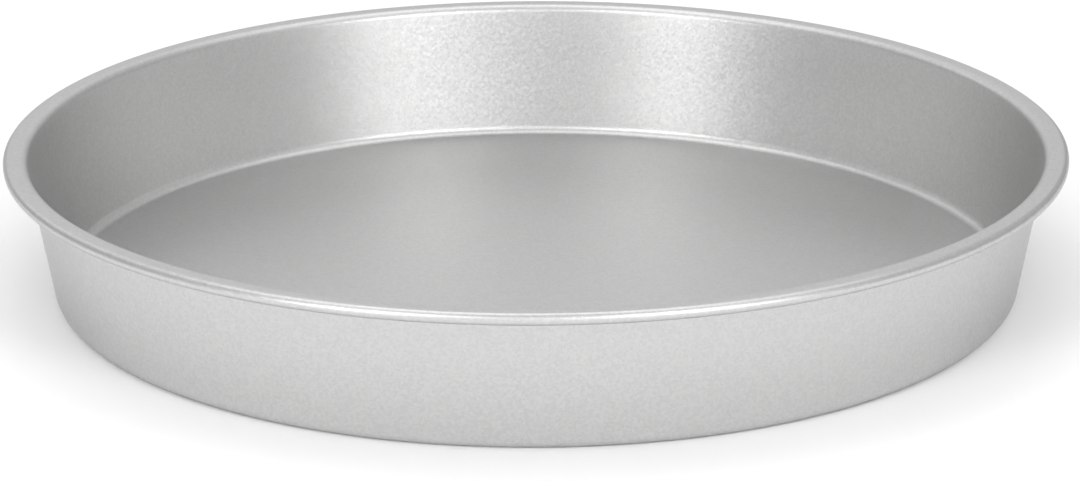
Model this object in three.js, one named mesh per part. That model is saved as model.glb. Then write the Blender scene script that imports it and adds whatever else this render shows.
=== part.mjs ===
// A round cake pan. One sheet of steel is drawn into a shallow dish with a leaning wall, and its mouth
// is turned out into a flat flange whose edge is curled over a hoop of steel wire.
// Millimetres, +Z up. The origin is on the table, under the middle of the pan.
import * as THREE from "three";

// Driving dimensions of the sheet
const MOUTH_DIAMETER = 280; // inside, where the line of the wall meets the top of the rim
const HEIGHT = 40; // from the table to the top of the rim
const WALL_LEAN = 10; // degrees that the wall leans out from upright
const SHEET = 0.5; // thickness of the steel
const FLOOR_CORNER = 2.6; // inside radius of the bend between floor and wall
const MOUTH_BEND = 1.9; // inside radius of the bend between wall and flange
const FLANGE_REACH = 4.8; // from the mouth out to the middle of the curl
const CURL_TURN = 225; // degrees that the edge of the sheet goes round the wire

// Driving dimensions of the wire
const WIRE_DIAMETER = 1.8;
const WIRE_CLEARANCE = 0.2; // all round the wire, inside the curl
const WIRE_END_GAP = 1; // between the two cut ends of the hoop
const WIRE_ENDS_AT = 90; // degrees round the pan from +X to the gap

// Fineness of the facets
const TURN_FACETS = 96; // round the pan
const BEND_FACET = 22.5; // most degrees that one facet of a bend takes
const WIRE_SIDES = 10;

// Directions in the cut through the rim, in degrees from straight outwards
const UP = 90;
const DOWN = -90;
const INWARDS = 180;

const radians = THREE.MathUtils.degToRad;

// The curl is as wide as the wire needs, and hangs from the flange's outer edge.
const curlInside = WIRE_DIAMETER / 2 + WIRE_CLEARANCE;
const curlOutside = curlInside + SHEET;
const mouthRadius = MOUTH_DIAMETER / 2;
const hoopRadius = mouthRadius + FLANGE_REACH;
const hoopHeight = HEIGHT - curlOutside;

// Centre of a bend that touches the wall: so far from the wall's inner face, at the given height.
// A positive distance lies outside the pan and a negative one inside it.
function bendCentre(distance, height) {
  const lean = radians(WALL_LEAN);
  const wallRadius = mouthRadius - (HEIGHT - height) * Math.tan(lean);
  return new THREE.Vector2(wallRadius + distance / Math.cos(lean), height);
}

// Points of an arc in the plane of radius and height, between two directions in degrees.
function arc(centre, radius, from, to) {
  const facets = Math.ceil(Math.abs(to - from) / BEND_FACET);
  return Array.from({ length: facets + 1 }, (_, i) => {
    const angle = radians(THREE.MathUtils.lerp(from, to, i / facets));
    return new THREE.Vector2(radius, 0).rotateAround(new THREE.Vector2(), angle).add(centre);
  });
}

// The drawn sheet: its cut runs out along the underside to the end of the curl, and back along the top.
function panShell() {
  const corner = bendCentre(-FLOOR_CORNER, SHEET + FLOOR_CORNER);
  const bend = bendCentre(SHEET + MOUTH_BEND, HEIGHT - SHEET - MOUTH_BEND);
  const curl = new THREE.Vector2(hoopRadius, hoopHeight);
  const curlEnd = UP - CURL_TURN;
  const cut = [
    new THREE.Vector2(0, 0),
    ...arc(corner, FLOOR_CORNER + SHEET, DOWN, -WALL_LEAN),
    ...arc(bend, MOUTH_BEND, INWARDS - WALL_LEAN, UP),
    ...arc(curl, curlInside, UP, curlEnd),
    ...arc(curl, curlOutside, curlEnd, UP),
    ...arc(bend, MOUTH_BEND + SHEET, UP, INWARDS - WALL_LEAN),
    ...arc(corner, FLOOR_CORNER, -WALL_LEAN, DOWN),
    new THREE.Vector2(0, SHEET),
  ];
  return new THREE.LatheGeometry(cut, TURN_FACETS).rotateX(radians(UP));
}

// The middle line of the wire: once round the pan inside the curl, less the gap between its ends.
class HoopLine extends THREE.Curve {
  getPoint(t, target = new THREE.Vector3()) {
    const gap = WIRE_END_GAP / hoopRadius;
    const angle = radians(WIRE_ENDS_AT) + gap / 2 + t * (2 * Math.PI - gap);
    return target.set(hoopRadius * Math.cos(angle), hoopRadius * Math.sin(angle), hoopHeight);
  }
}

function rimWire() {
  const section = new THREE.Shape().absarc(0, 0, WIRE_DIAMETER / 2, 0, 2 * Math.PI);
  return new THREE.ExtrudeGeometry(section, {
    extrudePath: new HoopLine(),
    steps: TURN_FACETS,
    curveSegments: WIRE_SIDES / 2, // a full circle gets two sides for each
  });
}

const silverCoat = new THREE.MeshStandardMaterial({
  name: "silver non-stick coat",
  color: 0xb9b8b5,
  roughness: 0.42,
  metalness: 0.8,
});
const bareWire = new THREE.MeshStandardMaterial({
  name: "drawn steel wire",
  color: 0x8f9193,
  roughness: 0.35,
  metalness: 1,
});

function piece(name, geometry, material) {
  const mesh = new THREE.Mesh(geometry, material);
  mesh.name = name;
  return mesh;
}

const cakePan = new THREE.Group();
cakePan.name = "cake_pan";
cakePan.add(piece("pan_shell", panShell(), silverCoat), piece("rim_wire", rimWire(), bareWire));

export default cakePan;
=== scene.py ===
"""Looks of a round cake pan: silver non-stick steel sheet, curled at its rim over a steel wire.
Metres, +Z up."""
import math

import bpy
import numpy as np
from mathutils import Matrix, Vector


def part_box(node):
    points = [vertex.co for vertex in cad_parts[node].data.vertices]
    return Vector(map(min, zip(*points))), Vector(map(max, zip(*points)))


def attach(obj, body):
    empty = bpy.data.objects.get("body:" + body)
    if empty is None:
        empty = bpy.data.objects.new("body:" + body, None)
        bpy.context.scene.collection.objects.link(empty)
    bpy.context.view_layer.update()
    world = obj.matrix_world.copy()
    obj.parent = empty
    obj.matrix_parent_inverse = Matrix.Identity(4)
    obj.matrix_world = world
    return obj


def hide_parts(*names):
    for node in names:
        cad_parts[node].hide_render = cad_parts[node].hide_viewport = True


MM = 0.001

# Sizes of the sheet and the wire that the frame's boxes don't give
MOUTH_RADIUS = 140 * MM  # where the line of the wall's inner face meets the top of the rim
WALL_LEAN = 10  # degrees that the wall leans out from upright
SHEET = 0.5 * MM  # thickness of the steel
FLOOR_CORNER = 2.6 * MM  # inside radius of the bend between floor and wall
MOUTH_BEND = 1.9 * MM  # inside radius of the bend between wall and flange
CURL_TURN = 225  # degrees that the edge of the sheet goes round the wire
WIRE_CLEARANCE = 0.2 * MM  # all round the wire, inside the curl
WIRE_END_GAP = 1 * MM  # between the two cut ends of the hoop
WIRE_ENDS_AT = 90  # degrees round the pan from +X to the gap

# Fineness of the surfaces
TURN_STEPS = 720  # round the pan
BEND_STEP = 9  # degrees along a bend
RUN_STEP = 25 * MM  # along a straight run of the sheet
EDGE_MARGIN = 0.3 * MM  # from either end of a run to its support ring
SHORT_RUN = 0.9 * MM  # a run no longer than this gets no ring between its ends
SHARP_TURN = 40  # degrees between two facets, past which their edge is a crease
WIRE_SIDES = 24  # round the wire
WIRE_END_STEPS = 6  # rings that round each cut end of the wire

# Directions in the cut through the rim, in degrees from straight outwards
UP = 90
DOWN = -90
INWARDS = 180

# The photograph's camera
PICTURE_WIDTH = 1080  # pixels
FOCAL_LENGTH = 3726  # pixels
CAMERA_PLACE = (1 * MM, -987 * MM, 341.9 * MM)
CAMERA_PITCH = 18.61  # degrees below level
CAMERA_ROLL = 0.23  # degrees, right side down
SENSOR_WIDTH = 36  # Blender's own millimetres

# The studio; a band is given by the sines of its lowest and highest elevation
TABLE_DROP = 0.05 * MM  # the table lies this far under the pan
TABLE_HALF = 40.0  # half of the table's side
TABLE_FADE = (0.4, 1.3)  # the table turns into the backdrop between these distances from the pan
BACKDROP = "#FFFFFF"  # the far part of the table and a strip above it
BACKDROP_BAND = (0.035, 0.06)  # in which the strip turns into the horizon
HORIZON = "#A4A4A4"  # the surround just above the strip
HORIZON_BAND = (0.05, 0.35)  # in which the horizon turns into the surround
SURROUND = "#CFCFCF"  # from there up
LAMP_DISTANCE = 1.3  # from the pan
# name, degrees round from the camera's side towards +X, degrees up, side of the square, watts
LAMPS = (
    ("back_overhead_softbox", 180, 68, 0.8, 2.0),
    ("left_overhead_softbox", -90, 68, 0.8, 2.2),
    ("right_overhead_softbox", 90, 68, 0.8, 1.7),
    ("back_softbox", 180, 18, 1.0, 1.0),
    ("left_back_softbox", -140, 32, 0.6, 0.6),
    ("left_high_lamp", -28, 34, 0.3, 2.1),
    ("left_low_lamp", -37, 16, 0.4, 2.6),
    ("right_high_lamp", 28, 34, 0.3, 2.2),
    ("right_low_lamp", 37, 16, 0.4, 2.3),
    ("right_near_lamp", 16, 15, 0.3, 0.8),
    ("front_low_lamp", 0, 16, 0.4, 0.4),
)

# Sizes that the frame's boxes give
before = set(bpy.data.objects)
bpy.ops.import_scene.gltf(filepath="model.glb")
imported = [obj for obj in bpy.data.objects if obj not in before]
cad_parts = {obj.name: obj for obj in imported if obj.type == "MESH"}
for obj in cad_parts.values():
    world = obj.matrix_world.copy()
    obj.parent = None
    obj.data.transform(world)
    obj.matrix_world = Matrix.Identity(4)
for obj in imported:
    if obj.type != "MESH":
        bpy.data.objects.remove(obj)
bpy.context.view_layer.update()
pan_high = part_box("pan_shell")[1]
wire_low, wire_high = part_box("rim_wire")
height = pan_high.z
wire_radius = (wire_high.z - wire_low.z) / 2
curl_inside = wire_radius + WIRE_CLEARANCE
curl_outside = curl_inside + SHEET
hoop_radius = pan_high.x - curl_outside
hoop_height = height - curl_outside


# Shapes


def bend_centre(distance, level):
    """Centre of a bend that touches the wall: so far from the wall's inner face, at the given height.
    A positive distance lies outside the pan and a negative one inside it."""
    lean = math.radians(WALL_LEAN)
    wall_radius = MOUTH_RADIUS - (height - level) * math.tan(lean)
    return wall_radius + distance / math.cos(lean), level


def arc(centre, radius, start, end):
    """Points of an arc in the plane of radius and height, between two directions in degrees."""
    angles = np.radians(np.linspace(start, end, math.ceil(abs(end - start) / BEND_STEP) + 1))
    return np.column_stack((centre[0] + radius * np.cos(angles), centre[1] + radius * np.sin(angles)))


def joined(*arcs):
    """One profile through the arcs in turn. A straight run between two arcs gets evenly spaced points, the
    outermost close to its ends, so that the shading of a bend stays in the bend."""
    parts = [arcs[0]]
    for last, following in zip(arcs[:-1], arcs[1:]):
        run = following[0] - last[-1]
        length = math.hypot(*run)
        if length > SHORT_RUN:
            steps = max(2, math.ceil(length / RUN_STEP))
            inner = np.linspace(EDGE_MARGIN, length - EDGE_MARGIN, steps)
            parts.append(last[-1] + run * (inner / length)[:, None])
        parts.append(following)
    return np.vstack(parts)


def sheet_profile():
    """The cut through the sheet: from the axis out along the underside to the end of the curl, then back
    along the top to the axis."""
    corner = bend_centre(-FLOOR_CORNER, SHEET + FLOOR_CORNER)
    bend = bend_centre(SHEET + MOUTH_BEND, height - SHEET - MOUTH_BEND)
    curl = (hoop_radius, hoop_height)
    curl_end = UP - CURL_TURN
    return joined(
        np.array([[0.0, 0.0]]),
        arc(corner, FLOOR_CORNER + SHEET, DOWN, -WALL_LEAN),
        arc(bend, MOUTH_BEND, INWARDS - WALL_LEAN, UP),
        arc(curl, curl_inside, UP, curl_end),
        arc(curl, curl_outside, curl_end, UP),
        arc(bend, MOUTH_BEND + SHEET, UP, INWARDS - WALL_LEAN),
        arc(corner, FLOOR_CORNER, -WALL_LEAN, DOWN),
        np.array([[0.0, SHEET]]),
    )


def skin_map(ring_count, side_count):
    """Map places for the faces of tube_mesh, corner by corner: the share of the way round the ring and of the
    way along the rings. The tip of a fan lies halfway along each triangle's side."""
    side, ring = np.meshgrid(np.arange(side_count), np.arange(ring_count - 1))
    quads = np.stack((side, ring, side + 1, ring, side + 1, ring + 1, side, ring + 1), -1).reshape(-1, 2)
    side = np.arange(side_count)
    first = np.zeros_like(side)
    last = np.full_like(side, ring_count - 1)
    start_fan = np.stack((side + 0.5, first, side + 1, first, side, first), -1).reshape(-1, 2)
    end_fan = np.stack((side + 0.5, last, side, last, side + 1, last), -1).reshape(-1, 2)
    return np.vstack((quads, start_fan, end_fan)) / (side_count, ring_count - 1)


def tube_mesh(name, rings, start_tip, end_tip, sharp_rings=()):
    """A closed skin over rings of points, an array of ring by point by xyz: each ring is joined to the next,
    and the first and last are closed by fans to a tip. Rings run so that the faces point outwards. The edges
    round a sharp ring are creases, and the map "skin" is that of skin_map."""
    ring_count, side_count = rings.shape[:2]
    points = np.vstack((rings.reshape(-1, 3), start_tip, end_tip))
    index = np.arange(ring_count * side_count).reshape(ring_count, side_count)
    after = np.roll(index, -1, axis=1)
    quads = np.stack((index[:-1], after[:-1], after[1:], index[1:]), -1)
    start = np.full(side_count, len(points) - 2)
    end = np.full(side_count, len(points) - 1)
    start_fan = np.stack((start, after[0], index[0]), -1)
    end_fan = np.stack((end, index[-1], after[-1]), -1)
    corners = np.concatenate((quads.ravel(), start_fan.ravel(), end_fan.ravel()))
    counts = np.repeat((4, 3), ((ring_count - 1) * side_count, 2 * side_count))

    mesh = bpy.data.meshes.new(name)
    mesh.vertices.add(len(points))
    mesh.vertices.foreach_set("co", points.astype(np.float32).ravel())
    mesh.loops.add(len(corners))
    mesh.loops.foreach_set("vertex_index", corners.astype(np.int32))
    mesh.polygons.add(len(counts))
    mesh.polygons.foreach_set("loop_start", (np.cumsum(counts) - counts).astype(np.int32))
    mesh.polygons.foreach_set("use_smooth", np.ones(len(counts), bool))
    mesh.update(calc_edges=True)
    places = skin_map(ring_count, side_count)
    mesh.uv_layers.new(name="skin").uv.foreach_set("vector", places.astype(np.float32).ravel())

    ends = np.empty(2 * len(mesh.edges), np.int32)
    mesh.edges.foreach_get("vertices", ends)
    ring_of = ends.reshape(-1, 2) // side_count
    crease = (ring_of[:, 0] == ring_of[:, 1]) & np.isin(ring_of[:, 0], sharp_rings)
    mesh.attributes.new("sharp_edge", "BOOLEAN", "EDGE").data.foreach_set("value", crease)
    return mesh


def turned(name, profile):
    """A surface of revolution: the point (r, z) of the profile at angle a is (r cos a, r sin a, z). The
    profile's ends lie on the axis and become the two tips. Where it turns sharply, its ring is a crease."""
    angles = np.linspace(0, 2 * np.pi, TURN_STEPS, endpoint=False)
    r = profile[1:-1, :1]
    z = profile[1:-1, 1:]
    rings = np.stack((r * np.cos(angles), r * np.sin(angles), np.broadcast_to(z, (len(z), TURN_STEPS))), -1)
    tips = np.column_stack((np.zeros((2, 2)), profile[[0, -1], 1]))
    heading = np.unwrap(np.arctan2(*np.diff(profile, axis=0).T[::-1]))
    sharp_rings = np.flatnonzero(np.abs(np.diff(heading)) > math.radians(SHARP_TURN))
    return tube_mesh(name, rings, tips[0], tips[1], sharp_rings)


def hooped(name):
    """A bent wire: a circle of the wire's radius carried once round the pan, less the gap between its ends.
    Over the last stretch at either end, one wire radius long, the circle shrinks as on a ball. Lengths along
    the wire are angles round the pan."""
    gap = WIRE_END_GAP / hoop_radius
    round_end = wire_radius / hoop_radius
    length = 2 * np.pi - gap
    first_end = np.radians(WIRE_ENDS_AT) + gap / 2
    swing = np.radians(np.linspace(0, 90, WIRE_END_STEPS + 1))[1:]
    start = round_end * (1 - np.cos(swing))
    middle = np.linspace(round_end, length - round_end, TURN_STEPS)[1:-1]
    along = np.concatenate((start, middle, length - start[::-1]))
    from_end = np.minimum(along, length - along)
    thick = wire_radius * np.sqrt(1 - np.clip(1 - from_end / round_end, 0, 1) ** 2)
    around = np.linspace(0, 2 * np.pi, WIRE_SIDES, endpoint=False)
    turn = first_end + along[:, None]
    out = hoop_radius + thick[:, None] * np.cos(around)
    up = hoop_height - thick[:, None] * np.sin(around)
    rings = np.stack((out * np.cos(turn), out * np.sin(turn), up), -1)
    tip_turn = first_end + np.array([0, length])
    tips = np.column_stack((
        hoop_radius * np.cos(tip_turn),
        hoop_radius * np.sin(tip_turn),
        np.full(2, hoop_height),
    ))
    return tube_mesh(name, rings, tips[0], tips[1])


def placed(name, mesh, material):
    """An object at the origin that shows the mesh in this material."""
    piece = bpy.data.objects.new(name, mesh)
    mesh.materials.append(material)
    bpy.context.scene.collection.objects.link(piece)
    return piece


# Finishes


def linear(hex_colour):
    """An sRGB hex colour as linear red, green, blue and full alpha."""
    srgb = np.array([int(hex_colour[i:i + 2], 16) for i in (1, 3, 5)]) / 255
    light = np.where(srgb <= 0.04045, srgb / 12.92, ((srgb + 0.055) / 1.055) ** 2.4)
    return (*light.tolist(), 1.0)


def add(tree, kind, settings=None, inputs=None):
    """Adds a shader node. Settings are its own properties; inputs are its sockets, each a value or the
    output that it is linked to."""
    made = tree.nodes.new("ShaderNode" + kind)
    for name, value in (settings or {}).items():
        setattr(made, name, value)
    for name, value in (inputs or {}).items():
        if isinstance(value, bpy.types.NodeSocket):
            tree.links.new(value, made.inputs[name])
        else:
            made.inputs[name].default_value = value
    return made


def new_tree(block):
    """The emptied node tree of a material or a world."""
    block.use_nodes = True
    block.node_tree.nodes.clear()
    return block.node_tree


def silver_coat():
    """Silver non-stick coat on steel, sprayed with fine metal flakes in the binder and baked. It gives the
    eye a satin metal, pale where it faces the light and darker where it faces the dim horizon, with a fine
    grain where single flakes lie a little out of level."""
    # Real flakes are some hundredths of a millimetre: drawn coarser, as the clumps that show
    flake = 0.62 * MM
    flake_lean = 0.022  # most that a flake leans each way, as a slope
    material = bpy.data.materials.new("sprayed_silver_nonstick_coat")
    tree = new_tree(material)
    place = add(tree, "TexCoord").outputs["Object"]
    flakes = add(tree, "TexVoronoi", {}, {"Vector": place, "Scale": 1 / flake}).outputs["Color"]
    lean = add(tree, "VectorMath", {"operation": "MULTIPLY_ADD"}, {
        0: flakes,
        1: [2 * flake_lean] * 3,
        2: [-flake_lean] * 3,
    }).outputs["Vector"]
    level = add(tree, "NewGeometry").outputs["Normal"]
    leaning = add(tree, "VectorMath", {"operation": "ADD"}, {0: level, 1: lean}).outputs["Vector"]
    normal = add(tree, "VectorMath", {"operation": "NORMALIZE"}, {0: leaning}).outputs["Vector"]
    shade = add(tree, "SeparateXYZ", {}, {"Vector": flakes}).outputs["X"]
    colour = add(tree, "Mix", {"data_type": "RGBA"}, {
        "Factor": shade,
        "A": linear("#C7C7C7"),
        "B": linear("#D0D0CF"),
    }).outputs["Result"]
    shader = add(tree, "BsdfPrincipled", {}, {
        "Base Color": colour,
        "Metallic": 1.0,
        "Roughness": 0.4,
        "Specular Tint": linear("#E4E4E4"),
        "Normal": normal,
    })
    add(tree, "OutputMaterial", {}, {"Surface": shader.outputs["BSDF"]})
    return material


def drawn_wire():
    """Bare steel wire, pulled through a die. It gives the eye a grey metal with fine streaks along the
    wire."""
    streak_width = 0.2 * MM  # real die marks are finer: drawn coarser
    streak_length = 25 * MM
    material = bpy.data.materials.new("drawn_steel_wire")
    tree = new_tree(material)
    skin = add(tree, "UVMap", {"uv_map": "skin"}).outputs["UV"]
    stretched = add(tree, "VectorMath", {"operation": "MULTIPLY"}, {
        0: skin,
        1: (2 * math.pi * wire_radius / streak_width, 2 * math.pi * hoop_radius / streak_length, 0),
    }).outputs["Vector"]
    streaks = add(tree, "TexNoise", {}, {"Vector": stretched, "Scale": 1.0, "Detail": 2.0}).outputs["Fac"]
    colour = add(tree, "Mix", {"data_type": "RGBA"}, {
        "Factor": streaks,
        "A": linear("#7C7E80"),
        "B": linear("#A2A4A6"),
    }).outputs["Result"]
    rough = add(tree, "MapRange", {}, {"Value": streaks, "To Min": 0.28, "To Max": 0.42}).outputs["Result"]
    shader = add(tree, "BsdfPrincipled", {}, {"Base Color": colour, "Metallic": 1.0, "Roughness": rough})
    add(tree, "OutputMaterial", {}, {"Surface": shader.outputs["BSDF"]})
    return material


def white_board():
    """Matt white board for the table. It gives the eye an even white that keeps the pan's shadow. Away from
    the pan it turns into the white backdrop, so no far edge shows."""
    material = bpy.data.materials.new("matt_white_board")
    tree = new_tree(material)
    place = add(tree, "TexCoord").outputs["Object"]
    distance = add(tree, "VectorMath", {"operation": "LENGTH"}, {0: place}).outputs["Value"]
    fade = add(tree, "MapRange", {"interpolation_type": "SMOOTHSTEP"}, {
        "Value": distance,
        "From Min": TABLE_FADE[0],
        "From Max": TABLE_FADE[1],
    }).outputs["Result"]
    board = add(tree, "BsdfDiffuse", {}, {"Color": linear("#FCFCFC")}).outputs["BSDF"]
    backdrop = add(tree, "Emission", {}, {"Color": linear(BACKDROP)}).outputs["Emission"]
    shader = add(tree, "MixShader", {}, {"Fac": fade, 1: board, 2: backdrop}).outputs["Shader"]
    add(tree, "OutputMaterial", {}, {"Surface": shader})
    return material


# Studio


def camera():
    """The photograph's viewpoint, looking along +Y and down, rolled a little."""
    data = bpy.data.cameras.new("camera")
    data.sensor_fit = "HORIZONTAL"
    data.sensor_width = SENSOR_WIDTH
    data.lens = FOCAL_LENGTH / PICTURE_WIDTH * SENSOR_WIDTH
    made = bpy.data.objects.new("camera", data)
    tilt = Matrix.Rotation(math.radians(90 - CAMERA_PITCH), 4, "X")
    roll = Matrix.Rotation(math.radians(-CAMERA_ROLL), 4, "Z")
    made.matrix_world = Matrix.Translation(CAMERA_PLACE) @ tilt @ roll
    bpy.context.scene.collection.objects.link(made)
    bpy.context.scene.camera = made


def surround():
    """A pale surround that is dimmer towards the horizon. A white strip along the horizon carries on the far
    part of the table. The colour follows the sine of the elevation of the look."""
    world = bpy.data.worlds.new("pale_surround")
    tree = new_tree(world)
    look = add(tree, "TexCoord").outputs["Object"]
    sine = add(tree, "SeparateXYZ", {}, {"Vector": look}).outputs["Z"]
    light = linear(SURROUND)
    for band, below in ((HORIZON_BAND, HORIZON), (BACKDROP_BAND, BACKDROP)):
        rise = add(tree, "MapRange", {"interpolation_type": "SMOOTHSTEP"}, {
            "Value": sine,
            "From Min": band[0],
            "From Max": band[1],
        }).outputs["Result"]
        light = add(tree, "Mix", {"data_type": "RGBA"}, {
            "Factor": rise,
            "A": linear(below),
            "B": light,
        }).outputs["Result"]
    glow = add(tree, "Background", {}, {"Color": light}).outputs["Background"]
    add(tree, "OutputWorld", {}, {"Surface": glow})
    bpy.context.scene.world = world


def softbox(name, azimuth, elevation, size, watts):
    """A square lamp that faces the pan; its values are as in the list of lamps."""
    light = bpy.data.lights.new(name, "AREA")
    light.shape = "SQUARE"
    light.size = size
    light.energy = watts
    lamp = bpy.data.objects.new(name, light)
    turn = math.radians(azimuth)
    rise = math.radians(elevation)
    away = Vector((math.sin(turn) * math.cos(rise), -math.cos(turn) * math.cos(rise), math.sin(rise)))
    facing = away.to_track_quat("Z", "Y").to_matrix().to_4x4()
    lamp.matrix_world = Matrix.Translation(away * LAMP_DISTANCE) @ facing
    lamp.visible_camera = False
    bpy.context.scene.collection.objects.link(lamp)


def table():
    """A flat square of board under the pan, far larger than any view."""
    corners = [(x * TABLE_HALF, y * TABLE_HALF, -TABLE_DROP) for x, y in ((-1, -1), (1, -1), (1, 1), (-1, 1))]
    mesh = bpy.data.meshes.new("table")
    mesh.from_pydata(corners, [], [(0, 1, 2, 3)])
    placed("table", mesh, white_board())


# The scene
bpy.context.scene.view_settings.view_transform = "Standard"
camera()
surround()
for lamp_values in LAMPS:
    softbox(*lamp_values)
table()

pan = placed("drawn_pan", turned("drawn_pan", sheet_profile()), silver_coat())
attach(pan, "root")
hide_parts("pan_shell")

wire = placed("rolled_in_wire", hooped("rolled_in_wire"), drawn_wire())
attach(wire, "root")
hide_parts("rim_wire")
